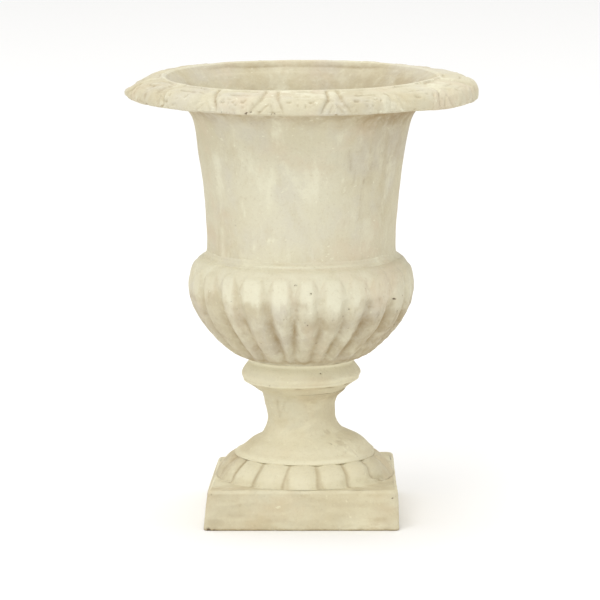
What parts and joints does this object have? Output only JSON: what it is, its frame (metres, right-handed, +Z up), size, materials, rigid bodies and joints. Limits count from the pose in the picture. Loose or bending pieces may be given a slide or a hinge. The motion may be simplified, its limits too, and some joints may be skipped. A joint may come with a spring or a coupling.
{
  "type": "cast iron garden urn",
  "caption": "Cast iron garden urn of campana shape with a gadrooned bowl, a carved rolled rim and a square plinth, in aged cream paint.",
  "frame": {"origin": "centre of the plinth's underside", "axes": "+Z up along the axis of the turned pieces; the front of the urn faces -Y"},
  "size_m": [0.311, 0.311, 0.39],
  "materials": {
    "cream_painted_iron": "matte, aged and chipped",
    "painted_putty": "matte",
    "weathered_steel": "dull, lightly rusted"
  },
  "bodies": {
    "root": {"plinth": "cream_painted_iron", "stem": "cream_painted_iron", "collar": "cream_painted_iron", "bowl": "cream_painted_iron", "joint_putty_ring": "painted_putty", "rim_and_wall": "cream_painted_iron", "tie_rod": "weathered_steel", "top_bar": "weathered_steel", "bottom_bar": "weathered_steel", "top_washer": "weathered_steel", "top_nut": "weathered_steel", "bottom_washer": "weathered_steel", "bottom_nut": "weathered_steel", "spring_washer": "weathered_steel", "flange_bolts": "weathered_steel", "flange_top_washers": "weathered_steel", "flange_bottom_washers": "weathered_steel", "flange_nuts": "weathered_steel"}
  },
  "joints": []
}
